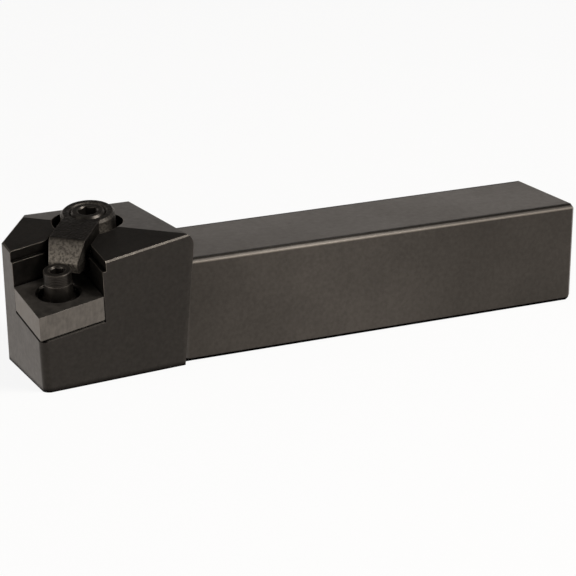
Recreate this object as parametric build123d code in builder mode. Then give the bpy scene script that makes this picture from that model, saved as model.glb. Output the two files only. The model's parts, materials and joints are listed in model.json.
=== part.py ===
"""Right-hand turning tool holder with an 80 degree insert pocket, a lock pin and a finger clamp.

Frame, in millimetres: the shank lies along X with its tail at +X and the cutting end at -X.
The cutting side faces -Y, up is +Z, and the origin is the centre of the shank's base.
"""

import os
from math import cos, radians, sin, sqrt

from build123d import *

# ------------------------------------------------------------------ shank and head
shank_width = 19.05
shank_height = 19.05
shank_length = 83.3  # tail to the rear of the head
tool_length = 114.3  # tail to the insert's corner
tool_offset = 25.4  # back of the shank to the insert's corner
head_rise = 6.0  # flat top of the head above the shank
head_rear_rounding = (1.4, 2.4)  # run and drop of the rounding behind the flat top
step_radius = 1.5
shank_chamfer = 0.7
tail_chamfer = 0.8
head_edge_break = 0.25
floor_edge_break = 0.3

# ------------------------------------------------------------------ insert pocket
corner_angle = 80.0
rake_angle = 10.5  # the pocket leans forward about a line across its diagonal
insert_circle = 12.7  # inscribed circle of the insert that the pocket takes
insert_thickness = 4.76
insert_overhang = 0.1
head_face_height = 1.7  # tilted face of the head, above the insert's top
relief_offset = 11.45  # pocket diagonal to the 45 degree relief
relief_lean = 2.2  # the relief falls outwards a little towards the base
wall_relief_depth = 0.15  # insert's top down to the ledge in the pocket walls
wall_relief_width = 0.75
corner_relief_radius = 1.6
nose_radius = 1.2

# ------------------------------------------------------------------ seat
seat_margin = 0.06  # the seat's inscribed circle is smaller than the insert's
seat_thickness = 4.76
seat_mouth_radius = 3.65
seat_mouth_depth = 2.4
seat_hole_radius = 3.35
seat_mouth_chamfer = 0.4
seat_edge_chamfer = 0.4
seat_side_radius = 0.4  # its 100 degree corners

# ------------------------------------------------------------------ lock pin
thread_radius = 3.125  # both screws have the same quarter inch thread
thread_clearance = 0.05
pin_head_radius = 2.45
pin_head_length = 2.2
pin_collar_radius = 2.52  # below the head, still inside the insert's hole
pin_top_depth = 0.45  # insert's top down to the pin's top
pin_thread_length = 9.0
pin_socket = 2.38
pin_socket_depth = 3.0
pin_mouth = (1.55, 0.45)  # radius and depth of the cone round the socket
shoulder_clearance = 0.08
shoulder_thickness = 1.2
pin_chamfer = 0.3
pin_edge_break = 0.12

# ------------------------------------------------------------------ clamp and its screw
clamp_distance = 26.3  # insert's corner to the screw's axis, along the diagonal
nose_gap = 0.3  # lock pin's collar to the tip of the nose
boss_radius = 4.85
boss_height = 2.85  # boss top above the insert's top
boss_chamfer = 0.45
boss_mouth_chamfer = 0.3
heel_bottom = -5.6  # below the insert's top
heel_chamfer = 0.6
heel_clearance = 1.45  # boss to the wall of the body's round recess
heel_floor_gap = 0.4
recess_shift = (0.2, -1.0)  # recess's centre from the screw's axis, across and along
arm_width = 6.6
nose_slope_run = 2.75  # tip of the nose back to the bend where the arm falls
bend_radius = 1.2
side_bend_radius = 6.0
arm_droop = 0.2
arm_thickness = 3.0
arm_root_bottom = -2.8
nose_width = 5.2
nose_tip_top = -0.6  # foot of the arm's sloping front, above an upright tip
nose_bottom = -2.6
nose_pad = 2.2
nose_chamfer = 0.4
channel_width = 8.2
channel_clearance = 0.35
screw_length = 25.4
screw_rise = 0.15  # screw's top above the boss's, with the clamp down
screw_neck_radius = 2.6
screw_neck_length = 3.0
screw_neck_middle = 11.4  # below the screw's top
screw_socket = 3.18
screw_socket_depth = 4.0
screw_mouth = (1.9, 0.4)  # radius and depth of the cone round each socket
screw_chamfer = 0.45

# ------------------------------------------------------------------ derived places
tail_x = shank_length / 2
back_y = shank_width / 2
step_x = -shank_length / 2
head_height = shank_height + head_rise
corner_x = tail_x - tool_length
corner_y = back_y - tool_offset
head_length = step_x - corner_x
stock = 5.0  # metal outside the finished faces of the head, until they are cut
cutter_width = 100.0
cutter_depth = 15.0
tolerance = 0.001

half_angle = radians(corner_angle / 2)
lean = radians(rake_angle)
across = Vector(1, -1, 0).normalized()
up = Vector(-sin(lean) / sqrt(2), -sin(lean) / sqrt(2), cos(lean))
upward = Axis((0, 0, 0), up)
along = up.cross(across)
side_edge = along * cos(half_angle) + across * sin(half_angle)
end_edge = along * cos(half_angle) - across * sin(half_angle)

# the insert's top face: X across the diagonal, Y along it, Z square to the face
insert_top = Plane(origin=(corner_x, corner_y, shank_height), x_dir=across, z_dir=up)
seat_top = -insert_thickness
pocket_floor = seat_top - seat_thickness
channel_floor = nose_bottom - channel_clearance
insert_centre = insert_circle / 2 / sin(half_angle)
pin_axis = (0, insert_centre)
clamp_axis = (0, clamp_distance)
clamp_reach = clamp_distance - insert_centre - pin_collar_radius - nose_gap
arm_bend = clamp_reach - nose_slope_run
seat_circle = insert_circle - seat_margin
hole_radius = thread_radius + thread_clearance


def diamond(circle, from_corner):
    """The four corners of an 80 degree diamond with its centre on the diagonal."""
    reach_y = circle / 2 / sin(half_angle)
    reach_x = circle / 2 / cos(half_angle)
    return [
        (0, from_corner - reach_y),
        (reach_x, from_corner),
        (0, from_corner + reach_y),
        (-reach_x, from_corner),
    ]


def pocket_outline(grow):
    """Two walls that meet at the pocket's inner corner, moved out by grow, and open space in front."""
    reach = 3 * insert_circle
    inner = insert_centre + insert_circle / 2 / sin(half_angle) + grow / sin(half_angle)
    side = (reach * sin(half_angle), inner - reach * cos(half_angle))
    return [(0, inner), side, (0, inner - 2 * reach * cos(half_angle)), (-side[0], side[1])]


def lies_in(plane):
    """A test for edges that have both ends in a plane."""

    def both_ends_in(edge):
        heights = [plane.to_local_coords(end.center()).Z for end in edge.vertices()]
        return max(map(abs, heights)) < tolerance

    return both_ends_in


# ------------------------------------------------------------------ holder body
# One bar of steel: a square shank, and a head that is milled in a tilted setting, so that its
# end, its side, the pocket and the face round the pocket are all square to one another.
body_corner = insert_top.from_local_coords((0, insert_overhang / sin(half_angle), 0))
head_side = Plane(origin=body_corner, x_dir=side_edge, z_dir=side_edge.cross(up))
head_end = Plane(origin=body_corner, x_dir=end_edge, z_dir=up.cross(end_edge))
head_face = insert_top.offset(head_face_height)
head_relief = Plane(
    origin=insert_top.from_local_coords((-relief_offset, 0, head_face_height)),
    x_dir=along,
    z_dir=-across * cos(radians(relief_lean)) + up * sin(radians(relief_lean)),
)

with BuildPart() as holder_body:
    with BuildSketch(Plane.YZ.offset(step_x)):
        Rectangle(shank_width, shank_height, align=(Align.CENTER, Align.MIN))
        chamfer(vertices(), length=shank_chamfer)
    extrude(amount=shank_length)
    chamfer(holder_body.faces().sort_by(Axis.X)[-1].edges(), length=tail_chamfer)

    # head block, as tall as the flat top, with a rounded rear edge
    with BuildSketch(Plane.XZ.offset(-back_y)):
        with BuildLine():
            rounding_foot = (step_x, head_height - head_rear_rounding[1])
            rounding_top = (step_x - head_rear_rounding[0], head_height)
            TangentArc(rounding_foot, rounding_top, tangent=(0, 1))
            Polyline(
                rounding_top,
                (corner_x - stock, head_height),
                (corner_x - stock, 0),
                (step_x, 0),
                rounding_foot,
            )
        make_face()
    extrude(amount=tool_offset + stock)
    shank_root = holder_body.edges().filter_by(lambda edge: abs(edge.center().X - step_x) < tolerance)
    top_root = shank_root.filter_by(Axis.Y).sort_by_distance((step_x, 0, shank_height))[0]
    side_root = shank_root.filter_by(Axis.Z).sort_by_distance((step_x, -back_y, shank_height / 2))[0]
    corner_root = shank_root.sort_by_distance((step_x, -back_y, shank_height))[0]
    fillet((top_root, corner_root, side_root), radius=step_radius)

    # the head's side, end, relief and tilted face
    for face, width in ((head_side, 2 * (head_length + stock)), (head_end, cutter_width)):
        with BuildSketch(face):
            Rectangle(width, cutter_width)
        extrude(amount=cutter_depth, mode=Mode.SUBTRACT)
    front_edge = holder_body.edges().sort_by_distance(body_corner - up * head_height / 2)[0]
    fillet(front_edge, radius=nose_radius)
    for face in (head_relief, head_face):
        with BuildSketch(face):
            Rectangle(cutter_width, cutter_width)
        extrude(amount=cutter_depth, mode=Mode.SUBTRACT)

    # pocket, the ledge round its walls and the relief in its inner corner
    with BuildSketch(insert_top.offset(pocket_floor)):
        Polygon(*pocket_outline(0), align=None)
        with Locations((0, 2 * insert_centre)):
            Circle(corner_relief_radius)
    extrude(amount=cutter_depth, mode=Mode.SUBTRACT)
    with BuildSketch(insert_top.offset(-wall_relief_depth)):
        Polygon(*pocket_outline(wall_relief_width), align=None)
    extrude(amount=cutter_depth, mode=Mode.SUBTRACT)

    # channel and round recess of the clamp
    with BuildSketch(insert_top.offset(channel_floor)):
        with Locations((0, clamp_distance / 2)):
            Rectangle(channel_width, clamp_distance)
    extrude(amount=cutter_depth, mode=Mode.SUBTRACT)
    with BuildSketch(insert_top.offset(heel_bottom - heel_floor_gap)):
        with Locations((recess_shift[0], clamp_distance + recess_shift[1])):
            Circle(boss_radius + heel_clearance)
    extrude(amount=cutter_depth, mode=Mode.SUBTRACT)

    # tapped holes for the lock pin and the clamp screw, square to the insert's top
    with BuildSketch(insert_top):
        with Locations(pin_axis, clamp_axis):
            Circle(hole_radius)
    extrude(amount=-2 * head_height, mode=Mode.SUBTRACT)

    # broken edges round the tilted face and in front of the pocket's floor
    face_rim = holder_body.edges().filter_by(lies_in(head_face))
    outer_rim = []
    for face in (head_side, head_end, head_relief):
        outer_rim += face_rim.filter_by(lies_in(face))
    chamfer(outer_rim, length=head_edge_break)
    floor_rim = holder_body.edges().filter_by(lies_in(insert_top.offset(pocket_floor)))
    chamfer(floor_rim.sort_by_distance(body_corner)[:3], length=floor_edge_break)
holder_body.part.label = "holder_body"

# ------------------------------------------------------------------ seat
# A ground carbide diamond, smaller than the insert all round, with a stepped hole: the lock
# pin's shoulder sits on the step and holds the seat to the pocket's floor.
with BuildPart() as seat:
    with BuildSketch(insert_top.offset(seat_top)):
        Polygon(*diamond(seat_circle, insert_centre), align=None)
        seat_corners = vertices().sort_by(Axis.X)
        fillet((seat_corners[0], seat_corners[-1]), radius=seat_side_radius)
        fillet(seat_corners[1:-1], radius=nose_radius)
    extrude(amount=-seat_thickness)
    chamfer(seat.faces().sort_by(upward)[0].edges(), length=seat_edge_chamfer)
    with Locations(insert_top.offset(seat_top)):
        with Locations(pin_axis):
            CounterBoreHole(seat_hole_radius, seat_mouth_radius, seat_mouth_depth)
    mouth_rims = seat.edges().filter_by(GeomType.CIRCLE).group_by(SortBy.RADIUS)[-1]
    chamfer(mouth_rims.sort_by(upward)[-1], length=seat_mouth_chamfer)
seat.part.label = "seat"

# ------------------------------------------------------------------ lock pin
# Turned steel: a head and a collar that fit the insert's hole, a shoulder that holds the seat
# down, and a thread in the body. It is turned with a key in the socket of its head.
pin_top = -pin_top_depth
shoulder_base = seat_top - seat_mouth_depth + thread_clearance
shoulder_radius = seat_mouth_radius - shoulder_clearance
pin_plane = Plane(
    origin=insert_top.from_local_coords((*pin_axis, 0)), x_dir=across, z_dir=-along
)

with BuildPart() as lock_pin:
    with BuildSketch(pin_plane):
        with BuildLine():
            Polyline(
                (0, pin_top - pin_mouth[1]),
                (pin_mouth[0] - pin_mouth[1], pin_top - pin_mouth[1]),
                (pin_mouth[0], pin_top),
                (pin_head_radius - pin_edge_break, pin_top),
                (pin_head_radius, pin_top - pin_edge_break),
                (pin_head_radius, pin_top - pin_head_length),
                (pin_collar_radius, pin_top - pin_head_length - pin_edge_break),
                (pin_collar_radius, shoulder_base + shoulder_thickness + pin_chamfer),
                (shoulder_radius - pin_chamfer, shoulder_base + shoulder_thickness),
                (shoulder_radius, shoulder_base + shoulder_thickness - pin_chamfer),
                (shoulder_radius, shoulder_base),
                (thread_radius, shoulder_base),
                (thread_radius, shoulder_base - pin_thread_length + pin_chamfer),
                (thread_radius - pin_chamfer, shoulder_base - pin_thread_length),
                (0, shoulder_base - pin_thread_length),
                close=True,
            )
        make_face()
    revolve(axis=Axis(pin_plane.origin, up))
    with BuildSketch(insert_top.offset(pin_top)):
        with Locations(pin_axis):
            RegularPolygon(pin_socket / 2, 6, major_radius=False)
    extrude(amount=-pin_socket_depth, mode=Mode.SUBTRACT)
lock_pin.part.label = "lock_pin"

# ------------------------------------------------------------------ clamp
# A forged finger: a threaded boss, a round heel that turns in the body's seat, and an arched
# arm that falls steeply to the nose that presses on the insert.
clamp_top = Plane(origin=insert_top.from_local_coords((*clamp_axis, 0)), x_dir=across, z_dir=up)
clamp_side = Plane(origin=clamp_top.origin, x_dir=-along, z_dir=-across)
bend_height = boss_height - arm_droop
arch_height = bend_height - arm_thickness

with BuildPart() as clamp:
    # arched arm, drawn from the side: X runs from the screw to the nose
    with BuildSketch(clamp_side):
        with BuildLine():
            Polyline(
                (clamp_reach - nose_pad, nose_bottom),
                (clamp_reach - nose_chamfer, nose_bottom),
                (clamp_reach, nose_bottom + nose_chamfer),
                (clamp_reach, nose_tip_top),
                (arm_bend, bend_height),
                (boss_radius, boss_height),
                (0, boss_height),
                (0, arm_root_bottom),
                (boss_radius, arm_root_bottom),
            )
            ThreePointArc(
                (boss_radius, arm_root_bottom),
                ((boss_radius + clamp_reach - nose_pad) / 2, arch_height),
                (clamp_reach - nose_pad, nose_bottom),
            )
        make_face()
        fillet(vertices().sort_by_distance((arm_bend, bend_height))[0], radius=bend_radius)
    extrude(amount=arm_width / 2, both=True)
    with BuildSketch(clamp_top):
        with BuildLine():
            Polyline(
                (arm_width / 2, boss_radius),
                (arm_width / 2, -arm_bend),
                (nose_width / 2, -clamp_reach),
                (-nose_width / 2, -clamp_reach),
                (-arm_width / 2, -arm_bend),
                (-arm_width / 2, boss_radius),
                close=True,
            )
        make_face()
        fillet(vertices().sort_by_distance((0, -arm_bend))[:2], radius=side_bend_radius)
    extrude(amount=cutter_depth, both=True, mode=Mode.INTERSECT)
    # boss and heel
    with BuildSketch(clamp_top.offset(heel_bottom)):
        Circle(boss_radius)
    extrude(amount=boss_height - heel_bottom)
    rims = clamp.edges().filter_by(GeomType.CIRCLE).sort_by(upward)
    chamfer(rims[-1], length=boss_chamfer)
    chamfer(rims[0], length=heel_chamfer)
    with BuildSketch(clamp_top):
        Circle(hole_radius)
    extrude(amount=cutter_depth, both=True, mode=Mode.SUBTRACT)
    chamfer(clamp.faces().sort_by(upward)[-1].inner_wires().edges(), length=boss_mouth_chamfer)
clamp.part.label = "clamp"

# ------------------------------------------------------------------ clamp screw
# A set screw with a key socket at each end: its upper thread is left-handed and carries the
# clamp, its lower thread is right-handed and turns in the body.
screw_top = boss_height + screw_rise
screw_bottom = screw_top - screw_length
neck_middle = screw_top - screw_neck_middle
screw_plane = Plane(origin=clamp_top.origin, x_dir=across, z_dir=-along)

with BuildPart() as clamp_screw:
    with BuildSketch(screw_plane):
        with BuildLine():
            Polyline(
                (0, screw_top - screw_mouth[1]),
                (screw_mouth[0] - screw_mouth[1], screw_top - screw_mouth[1]),
                (screw_mouth[0], screw_top),
                (thread_radius - screw_chamfer, screw_top),
                (thread_radius, screw_top - screw_chamfer),
                (thread_radius, neck_middle + screw_neck_length / 2),
                (screw_neck_radius, neck_middle + screw_neck_length / 2 - screw_chamfer),
                (screw_neck_radius, neck_middle - screw_neck_length / 2 + screw_chamfer),
                (thread_radius, neck_middle - screw_neck_length / 2),
                (thread_radius, screw_bottom + screw_chamfer),
                (thread_radius - screw_chamfer, screw_bottom),
                (screw_mouth[0], screw_bottom),
                (screw_mouth[0] - screw_mouth[1], screw_bottom + screw_mouth[1]),
                (0, screw_bottom + screw_mouth[1]),
                close=True,
            )
        make_face()
    revolve(axis=Axis(screw_plane.origin, up))
    for end, inward in ((screw_top, -1), (screw_bottom, 1)):
        with BuildSketch(clamp_top.offset(end)):
            RegularPolygon(screw_socket / 2, 6, major_radius=False)
        extrude(amount=inward * screw_socket_depth, mode=Mode.SUBTRACT)
clamp_screw.part.label = "clamp_screw"

os.makedirs("parts", exist_ok=True)
export_step(holder_body.part, "parts/holder_body.step")
export_step(seat.part, "parts/seat.step")
export_step(lock_pin.part, "parts/lock_pin.step")
export_step(clamp.part, "parts/clamp.step")
export_step(clamp_screw.part, "parts/clamp_screw.step")
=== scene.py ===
import bpy
import json
from math import cos, pi, radians, sin
from mathutils import Matrix, Vector

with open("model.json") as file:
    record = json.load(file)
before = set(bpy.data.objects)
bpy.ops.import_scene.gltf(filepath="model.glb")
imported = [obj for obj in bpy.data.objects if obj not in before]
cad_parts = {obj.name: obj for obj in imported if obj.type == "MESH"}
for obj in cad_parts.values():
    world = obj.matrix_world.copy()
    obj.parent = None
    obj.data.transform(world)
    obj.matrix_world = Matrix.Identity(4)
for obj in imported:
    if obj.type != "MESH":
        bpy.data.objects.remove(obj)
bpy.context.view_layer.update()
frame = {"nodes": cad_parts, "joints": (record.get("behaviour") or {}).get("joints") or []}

# ---------------------------------------------------------------- holder body
# One bar of alloy steel: the shank is ground square, the head is milled, and the whole bar is
# blackened in hot salts. Handling has worn the head's sharp edges back to grey steel, and both
# screw holes are tapped.
joints = {joint["name"]: joint for joint in frame["joints"]}
up = Vector(joints["clamp_lift"]["axis"])
pin_centre = Vector(joints["lock_pin_turn"]["pos_m"])
screw_centre = Vector(joints["clamp_screw_turn"]["pos_m"])
forward = (pin_centre - screw_centre).normalized()
across = up.cross(forward)
head_end = -0.0415
bare_steel = (0.17, 0.152, 0.133, 1)
thread_pitch = 0.0254 / 28
thread_radius = 0.00317


def new_material(name):
    """An empty node material with a Principled shader and object coordinates."""
    material = bpy.data.materials.new(name)
    material.use_nodes = True
    tree = material.node_tree
    shader = tree.nodes["Principled BSDF"]
    place = tree.nodes.new("ShaderNodeTexCoord").outputs["Object"]
    return material, tree, shader, place


def node(tree, kind, links=None, **settings):
    """A node with its settings, and with its named or numbered inputs linked or set."""
    made = tree.nodes.new("ShaderNode" + kind)
    for key, value in settings.items():
        setattr(made, key, value)
    for socket, value in (links or {}).items():
        if isinstance(value, bpy.types.NodeSocket):
            tree.links.new(value, made.inputs[socket])
        else:
            made.inputs[socket].default_value = value
    return made


def sum_of(tree, first, second):
    return node(tree, "Math", {0: first, 1: second}, operation="ADD").outputs[0]


def product(tree, first, second):
    return node(tree, "Math", {0: first, 1: second}, operation="MULTIPLY").outputs[0]


def noise(tree, place, scale, detail=3.0, stretch=(1, 1, 1)):
    """Noise from 0 to 1, drawn out along the axes that have a small stretch."""
    moved = node(tree, "Mapping", {"Vector": place, "Scale": stretch}).outputs[0]
    links = {"Vector": moved, "Scale": scale, "Detail": detail}
    return node(tree, "TexNoise", links).outputs["Fac"]


def between(tree, value, low, high, to_low=0.0, to_high=1.0):
    """A value's range from low to high, mapped to another range and held at its ends."""
    links = {"Value": value, "From Min": low, "From Max": high, "To Min": to_low, "To Max": to_high}
    return node(tree, "MapRange", links).outputs["Result"]


def mixed(tree, amount, first, second):
    """Two colours mixed by an amount."""
    return node(tree, "Mix", {0: amount, 6: first, 7: second}, data_type="RGBA").outputs[2]


def along(tree, vector, direction):
    """How much of a vector lies along a direction."""
    links = {0: vector, 1: direction}
    return node(tree, "VectorMath", links, operation="DOT_PRODUCT").outputs["Value"]


def measured(tree, place, start, direction):
    """How far a point lies from a start along a direction."""
    return sum_of(tree, along(tree, place, tuple(direction)), -start.dot(direction))


def openness(tree, distance):
    """1 on open faces, less in corners and gaps."""
    return node(tree, "AmbientOcclusion", {"Distance": distance}, samples=6).outputs["AO"]


def worn_edges(tree, place):
    """Where edges are rubbed bright: 1 on an outer edge and 0 on flats and in inner corners."""
    rounded = node(tree, "Bevel", {"Radius": 0.00018}, samples=6).outputs["Normal"]
    flat = node(tree, "NewGeometry").outputs["True Normal"]
    turned = along(tree, rounded, flat)
    exposed = between(tree, openness(tree, 0.0012), 0.80, 0.97)
    outer = product(tree, between(tree, turned, 0.988, 0.92), exposed)
    uneven = between(tree, noise(tree, place, 420.0, 4.0), 0.36, 0.56, 0.5, 1.0)
    return product(tree, outer, uneven)


def thread(tree, place, centre, hand):
    """Height of a screw thread round an axis, on walls near its radius only."""
    height = measured(tree, place, centre, up)
    sideways = measured(tree, place, centre, across)
    ahead = measured(tree, place, centre, forward)
    angle = node(tree, "Math", {0: sideways, 1: ahead}, operation="ARCTAN2").outputs[0]
    climb = product(tree, height, 1 / thread_pitch)
    turns = sum_of(tree, climb, product(tree, angle, hand / (2 * pi)))
    ridge = node(tree, "Math", {0: turns, 1: 0.5}, operation="PINGPONG").outputs[0]
    off_axis = node(tree, "CombineXYZ", {0: sideways, 1: ahead}).outputs[0]
    radius = node(tree, "VectorMath", {0: off_axis}, operation="LENGTH").outputs["Value"]
    off_wall = node(tree, "Math", {0: sum_of(tree, radius, -thread_radius)}, operation="ABSOLUTE")
    return product(tree, ridge, between(tree, off_wall.outputs[0], 0.00013, 0.00009))


def bumped(tree, height, distance, strength, normal):
    links = {"Height": height, "Distance": distance, "Strength": strength, "Normal": normal}
    return node(tree, "Bump", links).outputs[0]


def black_oxide(name, dark, light, rough, shine=0.36, wear=None, relief=None, relief_depth=0.0005):
    """Blackened steel: blotchy oxide, a fine grain in the finish, and bare worn edges."""
    material, tree, shader, place = new_material(name)
    blotch = noise(tree, place, 55.0, 4.0)
    speck = noise(tree, place, 900.0)
    lines = noise(tree, place, 2600.0, 2.0, (0.03, 1, 1))
    tone = sum_of(tree, product(tree, blotch, 0.6), product(tree, speck, 0.4))
    oxide = mixed(tree, between(tree, tone, 0.40, 0.60), (*dark, 1), (*light, 1))
    worn = worn_edges(tree, place)
    if wear:
        worn = product(tree, worn, wear(tree, place))
    tree.links.new(mixed(tree, worn, oxide, bare_steel), shader.inputs["Base Color"])
    tree.links.new(product(tree, worn, 0.85), shader.inputs["Metallic"])
    dull = between(tree, sum_of(tree, blotch, speck), 0.75, 1.25, rough - 0.04, rough + 0.04)
    tree.links.new(dull, shader.inputs["Roughness"])
    soft = node(tree, "Bevel", {"Radius": 0.00012}, samples=4).outputs["Normal"]
    normal = bumped(tree, sum_of(tree, product(tree, lines, 0.4), speck), 0.00001, 0.15, soft)
    if relief:
        normal = bumped(tree, relief(tree, place), relief_depth, 1.0, normal)
    tree.links.new(normal, shader.inputs["Normal"])
    shader.inputs["Specular IOR Level"].default_value = shine
    shader.inputs["Specular Tint"].default_value = (1.0, 0.92, 0.84, 1)
    return material, tree, shader, place, oxide


def recolour(tree, shader, oxide):
    """Puts another colour under the worn edges, which on the body and clamp carries painted shade
    and painted highlights.
    """
    worn_mix = shader.inputs["Base Color"].links[0].from_node
    tree.links.new(oxide, worn_mix.inputs[6])


def finish_node(name, material):
    """Gives a CAD node its finish."""
    mesh = frame["nodes"][name].data
    mesh.materials.clear()
    mesh.materials.append(material)


def wear_of_head(tree, place):
    """The head's upper edges are handled most, the shank's least."""
    spot = node(tree, "SeparateXYZ", {0: place})
    low = between(tree, spot.outputs["Z"], 0.013, 0.018, 0.10, 1.0)
    near_shank = between(tree, spot.outputs["X"], head_end - 0.004, head_end - 0.001, 1.0, 0.15)
    return product(tree, low, near_shank)


def tapped_holes(tree, place):
    return sum_of(tree, thread(tree, place, pin_centre, -1), thread(tree, place, screw_centre, -1))


def long_edge(tree, spot, out, height, reach):
    """1 on an edge that runs along the shank, and 0 beyond its reach."""
    side = node(tree, "Math", {0: spot.outputs["Y"]}, operation="ABSOLUTE").outputs[0]
    from_edge = {0: sum_of(tree, side, -out), 1: sum_of(tree, spot.outputs["Z"], -height)}
    offset = node(tree, "CombineXYZ", from_edge).outputs[0]
    gap = node(tree, "VectorMath", {0: offset}, operation="LENGTH").outputs["Value"]
    return between(tree, gap, reach, reach * 0.5)


def rim_below_seat(tree, place, spot, normal):
    """1 on the broken edge of the pocket's floor under the seat, which is painted in shade."""
    tilt = along(tree, normal, tuple(up))
    slanted = product(tree, between(tree, tilt, 0.50, 0.60), between(tree, tilt, 0.92, 0.85))
    on_head = between(tree, spot.outputs["X"], -0.048, -0.050)
    low = between(tree, measured(tree, place, pin_centre, up), -0.0075, -0.0079)
    return product(tree, product(tree, slanted, on_head), low)


def shine_of_body(tree, place, spot, shank, sides):
    """The head is dull. The shank shines more, most in the middle, where it is held."""
    middle = between(tree, spot.outputs["X"], -0.038, -0.018)
    middle = product(tree, middle, between(tree, spot.outputs["X"], 0.016, -0.006))
    patchy = between(tree, noise(tree, place, 60.0, 2.0), 0.35, 0.65, 0.90, 1.10)
    handled = product(tree, between(tree, middle, 0, 1, 0.42, 0.72), patchy)
    bright = sum_of(tree, product(tree, sides, handled), between(tree, sides, 0, 1, 0.46, 0.0))
    shine = sum_of(tree, product(tree, shank, bright), between(tree, shank, 0, 1, 0.30, 0.0))
    grain = between(tree, noise(tree, place, 1400.0, 4.0), 0.32, 0.68, 0.88, 1.12)
    return product(tree, shine, grain)


shank_half_width = 0.009525
shank_top = 0.01905
shank_edge_break = 0.0007
material, tree, shader, place, oxide = black_oxide(
    "body_black_oxide", (0.004, 0.0037, 0.0034), (0.008, 0.0072, 0.0064), 0.36,
    wear=wear_of_head, relief=tapped_holes,
)
spot = node(tree, "SeparateXYZ", {0: place})
normal = node(tree, "NewGeometry").outputs["True Normal"]
side_face = node(tree, "SeparateXYZ", {0: normal}).outputs["Y"]
sides = node(tree, "Math", {0: side_face}, operation="ABSOLUTE").outputs[0]
shank = between(tree, spot.outputs["X"], head_end - 0.001, head_end + 0.001)
# The ground shank is a touch paler and warmer than the head, and its top faces are painted paler
# than its sides as painted light.
pale_shank_and_lit_top = product(tree, shank, between(tree, sides, 0, 1, 0.014, 0.010))
finish = mixed(tree, pale_shank_and_lit_top, oxide, (1.0, 0.89, 0.77, 1))
upper = long_edge(tree, spot, shank_half_width - shank_edge_break, shank_top, 0.00066)
# Partly wear and partly a painted highlight: a line of bare steel colour, without its metal, runs
# along the lower edge of the shank's top chamfers.
lower = long_edge(tree, spot, shank_half_width, shank_top - shank_edge_break, 0.00024)
finish = mixed(tree, product(tree, product(tree, lower, shank), 0.8), finish, bare_steel)
# Painted shade: corners, gaps and hollows, found by ambient occlusion, are darkened to near black
# and lose their shine.
unshaded = between(tree, openness(tree, 0.0014), 0.52, 0.84)
# Painted shade: the upper half of the shank's long top chamfers is darkened and dulled.
unshaded = product(tree, unshaded, between(tree, product(tree, upper, shank), 0.0, 1.0, 1.0, 0.12))
# Painted shade: the rim below the seat is darkened and dulled.
shaded_rim = rim_below_seat(tree, place, spot, normal)
unshaded = product(tree, unshaded, between(tree, shaded_rim, 0.0, 1.0, 1.0, 0.35))
recolour(tree, shader, mixed(tree, unshaded, (0.0012, 0.0011, 0.001, 1), finish))
shine = shine_of_body(tree, place, spot, shank, sides)
tree.links.new(product(tree, shine, unshaded), shader.inputs["Specular IOR Level"])
finish_node("holder_body", material)

# ---------------------------------------------------------------- seat
# A diamond of sintered carbide, ground flat on every side, that carries the insert. It lies
# bare grey in the pocket, with painted shade in its corners and in the gap below it, and the
# lock pin's shoulder holds it down.
material, tree, shader, place = new_material("seat_carbide")
mottle = noise(tree, place, 700.0, 5.0)
ground = noise(tree, place, 2400.0, 2.0, (1, 1, 0.3))
tone = sum_of(tree, product(tree, mottle, 0.6), product(tree, ground, 0.4))
dark_grey, light_grey = (0.105, 0.098, 0.090, 1), (0.145, 0.135, 0.123, 1)
grey = mixed(tree, between(tree, tone, 0.38, 0.62), dark_grey, light_grey)
# Painted shade: the seat's corners and the gap below it, found by ambient occlusion, are darkened
# to near black and lose their metal.
unshaded = between(tree, openness(tree, 0.0009), 0.40, 0.70)
tree.links.new(mixed(tree, unshaded, (0.006, 0.0055, 0.005, 1), grey), shader.inputs["Base Color"])
tree.links.new(between(tree, mottle, 0.3, 0.7, 0.38, 0.50), shader.inputs["Roughness"])
soft = node(tree, "Bevel", {"Radius": 0.00010}, samples=4).outputs["Normal"]
tree.links.new(bumped(tree, tone, 0.00001, 0.3, soft), shader.inputs["Normal"])
tree.links.new(product(tree, unshaded, 0.92), shader.inputs["Metallic"])
finish_node("seat", material)

# ---------------------------------------------------------------- lock pin
# Turned, hardened and blackened steel with fine tool rings round its head. It stands up in the
# pocket to take the insert's hole, and its threaded end sits in the body.


def rings_and_thread(tree, place):
    height = measured(tree, place, pin_centre, up)
    ring_spacing = 0.00032
    head_base = -0.0024
    turns = product(tree, height, 2 * pi / ring_spacing)
    ring = node(tree, "Math", {0: turns}, operation="SINE").outputs[0]
    on_head = between(tree, height, head_base - 0.00005, head_base)
    rings = product(tree, product(tree, ring, on_head), 0.03)
    return sum_of(tree, rings, thread(tree, place, pin_centre, -1))


dark_turned, light_turned = (0.005, 0.0045, 0.004), (0.010, 0.009, 0.008)
material = black_oxide(
    "pin_black_oxide", dark_turned, light_turned, 0.34, relief=rings_and_thread,
)[0]
finish_node("lock_pin", material)

# ---------------------------------------------------------------- clamp
# A small drop forging, tumbled and blackened. Its skin keeps a pebbled grain, and the sloping
# front of the nose is painted a lighter grey as a painted highlight.


def pebbles(tree, place):
    return noise(tree, place, 2300.0, 2.0)


def wear_of_clamp(tree, place):
    """The arm is handled more than the top of the boss."""
    return between(tree, measured(tree, place, screw_centre, up), 0.0012, 0.0024, 0.7, 0.25)


material, tree, shader, place, oxide = black_oxide(
    "clamp_black_oxide", (0.003, 0.0027, 0.0024), (0.007, 0.0062, 0.0054), 0.42, shine=0.30,
    wear=wear_of_clamp, relief=pebbles, relief_depth=0.00011,
)
facing = node(tree, "NewGeometry").outputs["True Normal"]
front = along(tree, facing, tuple(forward))
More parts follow.
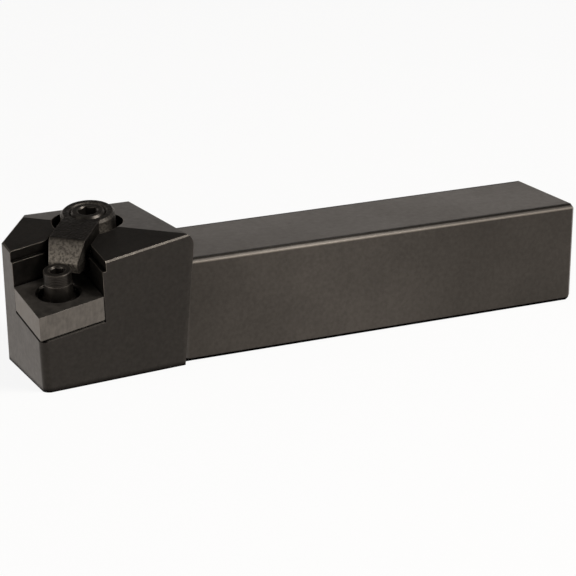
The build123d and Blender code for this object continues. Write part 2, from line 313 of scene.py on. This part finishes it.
# Painted highlight: the nose's faces that look forward and low are painted a lighter, pebbled grey.
low = between(tree, measured(tree, place, pin_centre, up), 0.0026, -0.0006, 0.25, 1.0)
nose_highlight = product(tree, between(tree, front, 0.15, 0.60), low)
nose_highlight = product(tree, nose_highlight, between(tree, pebbles(tree, place), 0.38, 0.58, 0.30, 1.0))
recolour(tree, shader, mixed(tree, nose_highlight, oxide, (0.16, 0.145, 0.125, 1)))
finish_node("clamp", material)

# ---------------------------------------------------------------- clamp screw
# A set screw of blackened alloy steel with a key socket at each end. Its upper thread is left
# handed and carries the clamp, and its lower thread is right handed and turns in the body.


def opposite_threads(tree, place):
    """The hand changes at the screw's neck."""
    neck = -0.0085
    height = measured(tree, place, screw_centre, up)
    upper = between(tree, height, neck, neck + 0.0001)
    lower = between(tree, height, neck, neck + 0.0001, 1.0, 0.0)
    left = product(tree, thread(tree, place, screw_centre, 1), upper)
    return sum_of(tree, left, product(tree, thread(tree, place, screw_centre, -1), lower))


material = black_oxide(
    "screw_black_oxide", dark_turned, light_turned, 0.32,
    wear=wear_of_clamp, relief=opposite_threads,
)[0]
finish_node("clamp_screw", material)

# ---------------------------------------------------------------- floor and cove
# A pale table top that turns up into a low wall all round, so that every side sees the same
# plain surface. It is there for the light alone.
bpy.ops.object.select_all(action="DESELECT")
bpy.ops.mesh.primitive_circle_add(vertices=96, radius=1.1, fill_type="NGON", location=(0, 0, 0))
cove = bpy.context.object
cove.name = "floor_and_cove"
bpy.ops.object.mode_set(mode="EDIT")
bpy.ops.mesh.select_mode(type="EDGE")
bpy.ops.mesh.select_all(action="SELECT")
bpy.ops.mesh.region_to_loop()
for rise, spread in ((0.02, 1.09), (0.05, 1.05), (0.10, 1.02), (0.30, 1.0)):
    bpy.ops.mesh.extrude_edges_move(TRANSFORM_OT_translate={"value": (0, 0, rise)})
    bpy.ops.transform.resize(value=(spread, spread, 1), center_override=(0, 0, 0))
bpy.ops.object.mode_set(mode="OBJECT")
bpy.ops.object.shade_smooth_by_angle(angle=radians(50))
material, tree, shader = new_material("pale_floor")[:3]
shader.inputs["Base Color"].default_value = (0.82, 0.82, 0.82, 1)
shader.inputs["Roughness"].default_value = 0.9
path = node(tree, "LightPath")
seen = path.outputs["Is Camera Ray"]
for ray in ("Is Glossy Ray", "Is Transmission Ray"):
    seen = node(tree, "Math", {0: seen, 1: path.outputs[ray]}, operation="MAXIMUM").outputs[0]
tint = mixed(tree, path.outputs["Is Camera Ray"], (1.0, 0.93, 0.87, 1), (1, 1, 1, 1))
glow = node(tree, "Emission", {"Color": tint, "Strength": 1.0})
blend = {0: product(tree, seen, 0.90), 1: shader.outputs[0], 2: glow.outputs[0]}
surface = tree.nodes["Material Output"].inputs["Surface"]
tree.links.new(node(tree, "MixShader", blend).outputs[0], surface)
cove.data.materials.append(material)

# ---------------------------------------------------------------- light
# Soft boxes: the main one high in front and to the right, so that it lights the upper edges,
# and a weak one at the cutting end. The room behind stays dim.


def soft_box(name, place, aim, size, power):
    lamp = bpy.data.lights.new(name, "AREA")
    lamp.shape, lamp.size, lamp.energy, lamp.color = "SQUARE", size, power, (1.0, 0.95, 0.89)
    holder = bpy.data.objects.new(name, lamp)
    bpy.context.scene.collection.objects.link(holder)
    holder.location = place
    holder.rotation_euler = (Vector(place) - Vector(aim)).to_track_quat("Z", "Y").to_euler()


soft_box("light_over", (0.28, -0.42, 0.60), (-0.04, 0, 0.01), 0.35, 6.5)
soft_box("light_end", (-0.75, -0.05, 0.30), (-0.05, 0, 0.01), 0.4, 2.0)
world = bpy.data.worlds.new("room")
world.use_nodes = True
world.node_tree.nodes["Background"].inputs["Color"].default_value = (1.0, 0.94, 0.88, 1)
world.node_tree.nodes["Background"].inputs["Strength"].default_value = 0.06
bpy.context.scene.world = world

# ---------------------------------------------------------------- camera
# A long lens in front of the cutting end, a little above the tool.
turn, rise, roll = radians(-29.63), radians(17.64), radians(1.12)
back = Vector((sin(turn) * cos(rise), -cos(turn) * cos(rise), sin(rise)))
right = Vector((0, 0, 1)).cross(back).normalized()
top = back.cross(right)
level = Matrix((right * cos(roll) + top * sin(roll), top * cos(roll) - right * sin(roll), back))
lens = bpy.data.cameras.new("camera")
lens.sensor_width = 36.0
lens.lens = 175.65
lens.clip_start = 0.01
camera = bpy.data.objects.new("camera", lens)
stand = Matrix.Translation((-0.25795, -0.42685, 0.16370))
camera.matrix_world = stand @ level.transposed().to_4x4()
bpy.context.scene.collection.objects.link(camera)
bpy.context.scene.camera = camera
bpy.context.scene.view_settings.view_transform = "Standard"
